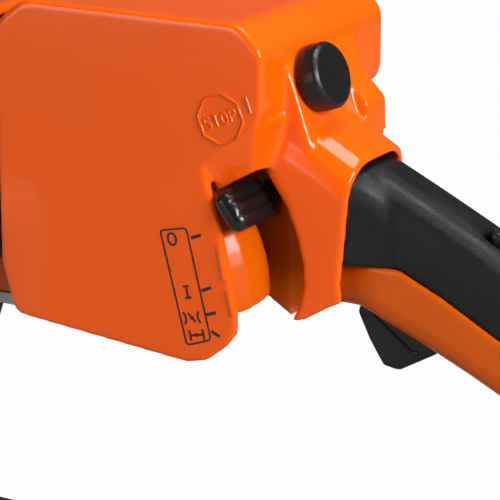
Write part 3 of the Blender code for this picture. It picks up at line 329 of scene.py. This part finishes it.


# ---------------------------------------------------------------- handle housing
# Satin orange nylon: the air box, the round wall beside the lever, the neck and the lower shell of the rear
# handle are one moulding, stiffer and a little duller in gloss than the cover. Its orange is darker than the
# cover's: painted shade for the recessed root of the handle, which lies in shadow.

# painted shade: the housing's orange is a darker copy of the cover's orange, standing for the shadow at the
# handle's root
housing_orange_painted_shade = plastic("housing_orange_painted_shade", (0.58, 0.085, 0.0004), rough=0.24, peel=0.10, shine=0.25)
moulded("handle_housing", "housing_moulding", housing_orange_painted_shade, COVER_GRAIN, passes=10,
         keep=0.3)


# ---------------------------------------------------------------- soft grip
# Black elastomer moulded over the upper half of the handle: matt, with the fine stipple of a spark-eroded
# mould, and a slot along the top for the throttle lock.

grip_black = plastic("grip_black", (0.0046, 0.0044, 0.005), rough=0.46, peel=0.9, speckle=0.22, grain=2100.0,
                     shine=0.32)
moulded("grip_cover", "grip_moulding", grip_black, COVER_GRAIN, passes=24, keep=0.4)


# ---------------------------------------------------------------- controls on the handle
# Glass-filled black nylon: the throttle trigger with a raised rib on its side and the throttle lock on top,
# both on steel pins, and the twist lock, which turns in the cover's rear wall and holds it on.

CONTROL_GRAIN = 0.6 * MM
TWIST_GRAIN = 0.5 * MM
TRIGGER_FACE = -8.5                  # outer face of the trigger, mm
RIB_SECTION = (1.7, 0.5)
TRIGGER_RIB = ((260.5, 120.8), (276.4, 108.9), (277.6, 108.3), (278.9, 108.1), (280.2, 108.3))

control_black = plastic("control_black", (0.006, 0.0056, 0.006), rough=0.36, peel=0.35, speckle=0.2)
moulded("throttle_trigger", "trigger_moulding", control_black, CONTROL_GRAIN, passes=6)
moulded("throttle_lock", "lock_moulding", control_black, CONTROL_GRAIN, passes=5)
moulded("twist_lock", "twist_knob", control_black, TWIST_GRAIN, passes=5)
drawn("trigger_rib", [(TRIGGER_RIB, False)], *RIB_SECTION, TRIGGER_FACE, "throttle_trigger", "black_plastic",
      control_black)


# ---------------------------------------------------------------- master lever
# Black acetal, glossy from handling: a knob with three lengthwise ridges for the thumb, on an arm that runs
# in the slot beside the round wall. It starts, chokes and stops the engine.

LEVER_PIVOT = (178.0, 129.0)
LEVER_REST = math.radians(38.3)
KNOB_MIDDLE = (55.7, -0.55)          # along and across the lever, mm
KNOB_HALF = (4.5, 8.0)
KNOB_ENDS = (-47.8, -19.6)
KNOB_POWER = 2.9                     # of the superellipse: 2 is an ellipse, more is squarer
END_LENGTH, END_DRAW = 4.4, 3.9      # how far each end's rounding runs, and how much it narrows the knob
GROOVES = (-2.7, 2.5)                # across the lever from the knob's middle
GROOVE_DEPTH, GROOVE_HALF = 1.3, 0.85
GROOVE_END = 5.0                     # the grooves grow from nothing over this length at each end
ARM_SIDES = (-20.3, -13.7)
HUB_R, TIP_R = 6.0, 5.5
TIP_AT = 54.0
SHARP = math.radians(32)             # an edge that turns more than this gets a radius


def from_pivot(radial, tangential):
    """x and z of a point given along and across the lever at rest."""
    c, s = math.cos(LEVER_REST), math.sin(LEVER_REST)
    return LEVER_PIVOT[0] + radial * c - tangential * s, LEVER_PIVOT[1] + radial * s + tangential * c


def knob():
    """Superellipse carried along Y, drawn in at both ends as a quarter circle, with two grooves on the outer
    side: each lowers the face by a bell curve of the tangential place."""
    u = np.linspace(0, 1, 56)[:, None]
    v = np.linspace(0, 2 * math.pi, 96, endpoint=False)[None, :]
    y = KNOB_ENDS[0] + (KNOB_ENDS[1] - KNOB_ENDS[0]) * (0.5 - 0.5 * np.cos(math.pi * u))
    from_end = np.minimum(y - KNOB_ENDS[0], KNOB_ENDS[1] - y)
    inset = END_DRAW * (1 - np.sqrt(1 - (1 - np.clip(from_end / END_LENGTH, 0, 1)) ** 2))
    radial, tangential = ((half - inset) * np.sign(wave) * np.abs(wave) ** (2 / KNOB_POWER)
                          for half, wave in zip(KNOB_HALF, (np.cos(v), np.sin(v))))
    outer = np.clip(radial / KNOB_HALF[0], 0, 1)
    grown = np.clip(from_end / GROOVE_END, 0, 1)
    for line in GROOVES:
        radial = radial - GROOVE_DEPTH * outer * grown * np.exp(-((tangential - line) / GROOVE_HALF) ** 2)
    x, z = from_pivot(radial + KNOB_MIDDLE[0], tangential + KNOB_MIDDLE[1])
    points = np.stack([x, np.broadcast_to(y, x.shape), z], -1)
    return points.reshape(-1, 3) * MM, tube_faces(*x.shape)


def round_edge(piece, width):
    """Small radius, in mm, on every sharp edge, with the flats kept flat."""
    bevel = piece.modifiers.new("radius", "BEVEL")
    bevel.width = width * MM
    bevel.segments = 2
    bevel.limit_method = "ANGLE"
    bevel.angle_limit = SHARP
    piece.modifiers.new("even_shading", "WEIGHTED_NORMAL").keep_sharp = True


def plate(name, outline, sides, body, finish, edge):
    """Flat plate between two side faces, from an outline of (x, z) pairs, with its edges rounded."""
    rings = [np.insert(np.asarray(outline, float), 1, side, axis=1) for side in sides]
    points = np.vstack(rings) * MM
    piece = outward(surface(name, points, tube_faces(2, len(outline)), body, finish))
    round_edge(piece, edge)
    return piece


lever_black = plastic("lever_black", (0.006, 0.0056, 0.0056), rough=0.30, peel=0.2, speckle=0.2, coat=0.1)
points, faces = knob()
knob_piece = outward(surface("lever_knob", points, faces, "master_lever", lever_black))
hub = [from_pivot(*p) for p in arc(0, 0, HUB_R, HUB_R, 90, 270, 12)]
tip = [from_pivot(*p) for p in arc(TIP_AT, 0, TIP_R, HUB_R, -90, 90, 12)]
arm_piece = plate("lever_arm", hub + tip, ARM_SIDES, "master_lever", lever_black, 0.5)
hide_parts("master_lever")
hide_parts("master_lever")


# ---------------------------------------------------------------- other mouldings
# Nylon shells and covers away from the handle: engine shroud, starter housing, clutch cover, rear guard,
# front handle, hand guard, caps and small carriers, rubber pieces, and the spark plug's insulator. Edges have
# the small radius of a mould.

FLAT = math.radians(0.6)             # facets that turn less than this are one flat


def finished(node, finish, radius):
    """The node's own walls with its flat facets joined and a small radius, in mm, along every edge."""
    points, faces = skin(node)
    piece = surface(node + "_part", points, faces, body_of(node), finish)
    shell = bmesh.new()
    shell.from_mesh(piece.data)
    bmesh.ops.dissolve_limit(shell, angle_limit=FLAT, verts=shell.verts, edges=shell.edges)
    shell.to_mesh(piece.data)
    shell.free()
    piece.data.shade_smooth()
    round_edge(piece, radius)
    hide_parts(node)


guard_black = plastic("guard_black", (0.013, 0.013, 0.014), rough=0.42, peel=0.5, speckle=0.25)
cover_dark = plastic("cover_dark", (0.028, 0.028, 0.030), rough=0.55, peel=0.6, speckle=0.2)
starter_grey = plastic("starter_grey", (0.48, 0.48, 0.46), rough=0.48, peel=0.5, speckle=0.06)
tank_milky = plastic("tank_milky", (0.42, 0.42, 0.39), rough=0.38, peel=0.4, speckle=0.08)
rubber_black = plastic("rubber_black", (0.016, 0.016, 0.016), rough=0.72, peel=0.8, speckle=0.3)
insulator_white = plastic("insulator_white", (0.78, 0.77, 0.74), rough=0.18, peel=0.1, speckle=0.03, coat=0.5)

for slot, finish, radii in (
        ("orange_cover", cover_orange, {"engine_shroud": 0.6}),
        ("black_plastic", guard_black, {"hand_guard": 0.8, "fuel_cap": 0.4, "oil_cap": 0.4, "oil_pump": 0.3,
                                        "starter_pulley": 0.3, "starter_pawl": 0.3}),
        ("dark_plastic", cover_dark, {"rear_guard": 0.5, "clutch_cover": 0.6, "front_handle": 0.3,
                                      "ignition_coil": 0.4}),
        ("grey_plastic", starter_grey, {"starter_housing": 0.6}),
        ("tank_plastic", tank_milky, {"fuel_tank": 0.8}),
        ("rubber", rubber_black, {"starter_grip": 0.5, "vibration_buffer": 0.4, "intake_boot": 0.3,
                                  "ignition_lead": 0.2}),
        ("ceramic", insulator_white, {"spark_plug": 0.15})):
    for node, radius in radii.items():
        finished(node, finish, radius)


# ---------------------------------------------------------------- castings and machined steel
# Die-cast aluminium with a shot-blasted skin, and turned, ground or stamped steel. The steel shows the lay
# of the tool: fine lines round the shaft on turned pieces, along the bar on flat ones.

def metal(name, colour, rough, lay, bump, tint=0.0):
    """Metal whose noise is stretched by the three factors in lay, so that its lines follow the tool. Tint
    mixes in straw and blue patches, as heat does."""
    finish = bpy.data.materials.new(name)
    finish.use_nodes = True
    nodes, links = finish.node_tree.nodes, finish.node_tree.links
    shader = nodes["Principled BSDF"]
    shader.inputs["Metallic"].default_value = 1.0
    place = nodes.new("ShaderNodeTexCoord")
    stretch = nodes.new("ShaderNodeMapping")
    stretch.inputs["Scale"].default_value = lay
    links.new(place.outputs["Object"], stretch.inputs["Vector"])
    lines = nodes.new("ShaderNodeTexNoise")
    lines.inputs["Scale"].default_value = 1.0
    lines.inputs["Detail"].default_value = 5
    links.new(stretch.outputs[0], lines.inputs["Vector"])
    cloud = nodes.new("ShaderNodeTexNoise")
    cloud.inputs["Scale"].default_value = 45
    cloud.inputs["Detail"].default_value = 5
    links.new(place.outputs["Object"], cloud.inputs["Vector"])
    tone = nodes.new("ShaderNodeValToRGB")
    tone.color_ramp.elements[0].position = 0.3
    tone.color_ramp.elements[0].color = (*[c * 0.72 for c in colour], 1)
    tone.color_ramp.elements[1].position = 0.7
    tone.color_ramp.elements[1].color = (*[c * (1.1 - tint * k) for c, k in zip(colour, (0.1, 0.4, 0.7))], 1)
    links.new(cloud.outputs["Fac"], tone.inputs[0])
    links.new(tone.outputs[0], shader.inputs["Base Color"])
    gloss = nodes.new("ShaderNodeMapRange")
    gloss.inputs["To Min"].default_value = rough * 0.7
    gloss.inputs["To Max"].default_value = min(1.0, rough * 1.5)
    links.new(lines.outputs["Fac"], gloss.inputs["Value"])
    links.new(gloss.outputs[0], shader.inputs["Roughness"])
    lift = nodes.new("ShaderNodeBump")
    lift.inputs["Strength"].default_value = bump
    lift.inputs["Distance"].default_value = 0.00015
    links.new(lines.outputs["Fac"], lift.inputs["Height"])
    links.new(lift.outputs[0], shader.inputs["Normal"])
    return finish


EVEN = (1400, 1400, 1400)
TURNED = (300, 3200, 300)            # lines round shafts that lie along Y
GROUND = (90, 2400, 2400)            # lines along the guide bar
cast_aluminium = metal("cast_aluminium", (0.50, 0.51, 0.52), rough=0.46, lay=EVEN, bump=0.7)
turned_steel = metal("turned_steel", (0.52, 0.52, 0.53), rough=0.24, lay=TURNED, bump=0.3)
ground_steel = metal("ground_steel", (0.56, 0.56, 0.57), rough=0.26, lay=GROUND, bump=0.3)
chain_steel = metal("chain_steel", (0.27, 0.27, 0.28), rough=0.34, lay=EVEN, bump=0.4)
muffler_steel = metal("muffler_steel", (0.27, 0.25, 0.23), rough=0.5, lay=EVEN, bump=0.6, tint=1.0)

for slot, finish, radii in (
        ("alloy_casting", cast_aluminium, {
            "crankcase_left": 0.5, "crankcase_right": 0.4, "cylinder": 0.2, "piston": 0.2, "flywheel": 0.2,
            "carburettor": 0.4, "chain_catcher": 0.3}),
        ("steel", turned_steel, {
            "crankshaft": 0.2, "connecting_rod": 0.2, "piston_pin": 0.2, "recoil_spring": 0.05,
            "clutch_hub": 0.2, "clutch_shoe_1": 0.2, "clutch_shoe_2": 0.2, "clutch_shoe_3": 0.2,
            "clutch_drum": 0.15, "drum_bearing": 0.1, "bar_nut_1": 0.3, "bar_nut_2": 0.3, "brake_band": 0.1,
            "chain_tensioner": 0.2, "trigger_spring": 0.1, "trigger_pin": 0.2, "lock_pin": 0.2,
            "throttle_rod": 0.1, "lever_shaft": 0.2, "choke_flap": 0.1}),
        ("steel", ground_steel, {"bumper_spikes": 0.2, "guide_bar": 0.3, "nose_sprocket": 0.1}),
        ("muffler_steel", muffler_steel, {"muffler": 0.6})):
    for node, radius in radii.items():
        finished(node, finish, radius)


# ---------------------------------------------------------------- saw chain
# Stamped and ground steel: drive links run in the bar's groove, with tie straps riveted on both sides. On
# each side every fourth strap is a cutter, left and right by turns.

CHAIN_Y = 40.5                       # middle plane of bar and chain, mm
LINK_COUNT = 96                      # drive links, and as many pairs of straps: a multiple of 4
NOSE, NOSE_R = (-392.0, 75.0), 20.0
SPROCKET, SPROCKET_R = (0.0, 75.0), 19.4
RUN_HALF = 26.0                      # half the chain's height where the bar is tallest
BAR_RUN = ((-340, 0.80), (-270, 0.97), (-200, 1.0), (-110, 0.97))  # x and the share of RUN_HALF there
STRAP_LONG, STRAP_TALL = 9.0, 4.6
RIVET_R = 1.25
CHAIN_EDGE = 0.15
DRIVE_LINK = ((-3.9, -3.0), (3.9, -3.0), (4.3, 0.8), (2.6, 2.3), (-2.6, 2.3), (-4.3, 0.8))
CUTTER_SIDE = ((-5.4, -2.4), (5.2, -2.4), (5.9, 0.4), (5.2, 2.6), (3.4, 2.9), (1.6, -0.3), (0.2, -0.3),
               (-0.5, 3.2), (-5.0, 2.7), (-6.0, 0.6))
CUTTER_TOP = ((-0.4, 3.35), (-0.6, 2.6), (-5.0, 2.1), (-5.1, 2.85))


def link_places():
    """Middle, direction and outward normal of each link: even steps of length along the nose arc, the lower
    run, the sprocket arc and the upper run, which close on themselves."""
    low = [(x, NOSE[1] - RUN_HALF * share) for x, share in BAR_RUN]
    high = [(x, NOSE[1] + RUN_HALF * share) for x, share in BAR_RUN[::-1]]
    loop = np.vstack([arc(*NOSE, NOSE_R, NOSE_R, 90, 270, 24), low,
                      arc(*SPROCKET, SPROCKET_R, SPROCKET_R, -90, 90, 20), high])
    loop = np.vstack([loop, loop[:1]])
    run = np.concatenate([[0], np.cumsum(np.linalg.norm(np.diff(loop, axis=0), axis=1))])
    at = (np.arange(LINK_COUNT * 2) / 2 + 0.25) / LINK_COUNT * run[-1]
    middle = np.stack([np.interp(at, run, loop[:, 0]), np.interp(at, run, loop[:, 1])], 1)
    onward = np.roll(middle, -1, 0) - np.roll(middle, 1, 0)
    onward /= np.linalg.norm(onward, axis=1)[:, None]
    return middle, onward, np.stack([onward[:, 1], -onward[:, 0]], 1)


def repeated(name, outline, sides, chosen, finish):
    """The outline, as (along, outward) pairs, extruded between two sides and repeated at the chosen places:
    each point stands at middle + along * direction + outward * normal."""
    middle, onward, normal = (part[chosen][:, None] for part in links)
    outline = np.asarray(outline, float)[None]
    flat = middle + outline[..., :1] * onward + outline[..., 1:] * normal
    walls = [np.insert(flat, 1, CHAIN_Y + side, axis=2) for side in sides]
    points = np.concatenate(walls, axis=1).reshape(-1, 3)
    count = outline.shape[1]
    one = tube_faces(2, count)
    faces = [[k + 2 * count * link for k in face] for link in range(len(chosen)) for face in one]
    piece = outward(surface(name, points * MM, faces, "crankcase", finish))
    round_edge(piece, CHAIN_EDGE)
    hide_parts("saw_chain")


links = link_places()
half_long, half_tall = STRAP_LONG / 2 - STRAP_TALL / 2, STRAP_TALL / 2
strap = np.vstack([arc(half_long, 0, half_tall, half_tall, -90, 90, 6),
                   arc(-half_long, 0, half_tall, half_tall, 90, 270, 6)])
every = np.arange(LINK_COUNT * 2)
drive, straps = every[0::2], every[1::2]
cutters_left, cutters_right = straps[0::4], straps[2::4]
repeated("drive_links", DRIVE_LINK, (-0.75, 0.75), drive, chain_steel)
repeated("straps_left", strap, (-2.4, -1.0), np.setdiff1d(straps, cutters_left), chain_steel)
repeated("straps_right", strap, (1.0, 2.4), np.setdiff1d(straps, cutters_right), chain_steel)
repeated("cutters_left", CUTTER_SIDE, (-2.6, -1.2), cutters_left, ground_steel)
repeated("cutters_right", CUTTER_SIDE, (1.2, 2.6), cutters_right, ground_steel)
repeated("cutter_tops_left", CUTTER_TOP, (-3.1, 0.7), cutters_left, ground_steel)
repeated("cutter_tops_right", CUTTER_TOP, (-0.7, 3.1), cutters_right, ground_steel)
repeated("rivets", arc(0, 0, RIVET_R, RIVET_R, 0, 315, 8), (-2.9, 2.9), every, turned_steel)


# ---------------------------------------------------------------- felt and rope
# Pressed felt in the air filter, and a braided nylon starter rope. Both are soft, pale and matt.

def fibre(name, colour, lay):
    """Fibres: the stretched noise of a metal's lay lifts the surface, without a metal's reflections."""
    finish = metal(name, colour, rough=0.7, lay=lay, bump=1.0)
    finish.node_tree.nodes["Principled BSDF"].inputs["Metallic"].default_value = 0.0
    return finish


filter_felt = fibre("filter_felt", (0.66, 0.64, 0.56), lay=(900, 1500, 1500))
rope_braid = fibre("rope_braid", (0.62, 0.62, 0.58), lay=(1500, 1500, 500))
finished("air_filter", filter_felt, 0.6)
finished("starter_rope", rope_braid, 0.1)


# ---------------------------------------------------------------- floor, light and camera
# A white floor and three soft boxes: the key from behind the handle, one above, and a weak one on the left.
# The surroundings give a little even light, and look white where they are seen directly.

FLOOR_HALF, FLOOR_Z = 6.0, -0.001
TARGET = Vector((0.230, -0.045, 0.150))
AZIMUTH, ELEVATION, DISTANCE = math.radians(30), math.radians(17), 0.9


def white(name, share):
    """Matt grey with the share of white glow mixed in where it is seen directly, so that it looks white
    but throws little light back."""
    finish = bpy.data.materials.new(name)
    finish.use_nodes = True
    nodes, links = finish.node_tree.nodes, finish.node_tree.links
    nodes["Principled BSDF"].inputs["Base Color"].default_value = (0.32, 0.32, 0.32, 1)
    nodes["Principled BSDF"].inputs["Roughness"].default_value = 0.9
    glow = nodes.new("ShaderNodeEmission")
    mix = nodes.new("ShaderNodeMixShader")
    seen = nodes.new("ShaderNodeLightPath")
    part = nodes.new("ShaderNodeMath")
    part.operation = "MULTIPLY"
    part.inputs[1].default_value = share
    links.new(seen.outputs["Is Camera Ray"], part.inputs[0])
    links.new(part.outputs[0], mix.inputs[0])
    links.new(nodes["Principled BSDF"].outputs[0], mix.inputs[1])
    links.new(glow.outputs[0], mix.inputs[2])
    links.new(mix.outputs[0], nodes["Material Output"].inputs["Surface"])
    return finish


floor_mesh = bpy.data.meshes.new("floor")
floor_corners = [(x * FLOOR_HALF, y * FLOOR_HALF, FLOOR_Z) for x, y in ((-1, -1), (1, -1), (1, 1), (-1, 1))]
floor_mesh.from_pydata(floor_corners, [], [(0, 1, 2, 3)])
floor_mesh.materials.append(white("floor_white", 0.98))
floor = bpy.data.objects.new("floor", floor_mesh)
bpy.context.scene.collection.objects.link(floor)


def softbox(name, place, size, power):
    """Square area light that faces the handle."""
    lamp = bpy.data.lights.new(name, "AREA")
    lamp.size = size
    lamp.energy = power
    box = bpy.data.objects.new(name, lamp)
    box.location = place
    box.rotation_euler = (Vector(place) - TARGET).to_track_quat("Z", "Y").to_euler()
    bpy.context.scene.collection.objects.link(box)


softbox("key", (1.25, -0.42, 0.66), size=0.5, power=20)
softbox("above", (0.45, 0.10, 1.35), size=0.7, power=13)
softbox("left", (-0.55, -1.25, 0.30), size=0.6, power=4.2)

world = bpy.data.worlds.new("studio")
bpy.context.scene.world = world
world.use_nodes = True
sky = world.node_tree.nodes["Background"]
sky.inputs["Color"].default_value = (1, 1, 1, 1)
ray = world.node_tree.nodes.new("ShaderNodeLightPath")
level = world.node_tree.nodes.new("ShaderNodeMapRange")
level.inputs["To Min"].default_value = 0.10
level.inputs["To Max"].default_value = 1.0
world.node_tree.links.new(ray.outputs["Is Camera Ray"], level.inputs["Value"])
world.node_tree.links.new(level.outputs[0], sky.inputs["Strength"])
bpy.context.scene.view_settings.view_transform = "Standard"

back = Vector((math.sin(AZIMUTH) * math.cos(ELEVATION), -math.cos(AZIMUTH) * math.cos(ELEVATION),
               math.sin(ELEVATION)))
lens = bpy.data.cameras.new("camera")
lens.lens = 180
lens.sensor_width = 36
camera = bpy.data.objects.new("camera", lens)
camera.location = TARGET + back * DISTANCE
camera.rotation_euler = back.to_track_quat("Z", "Y").to_euler()
bpy.context.scene.collection.objects.link(camera)
bpy.context.scene.camera = camera
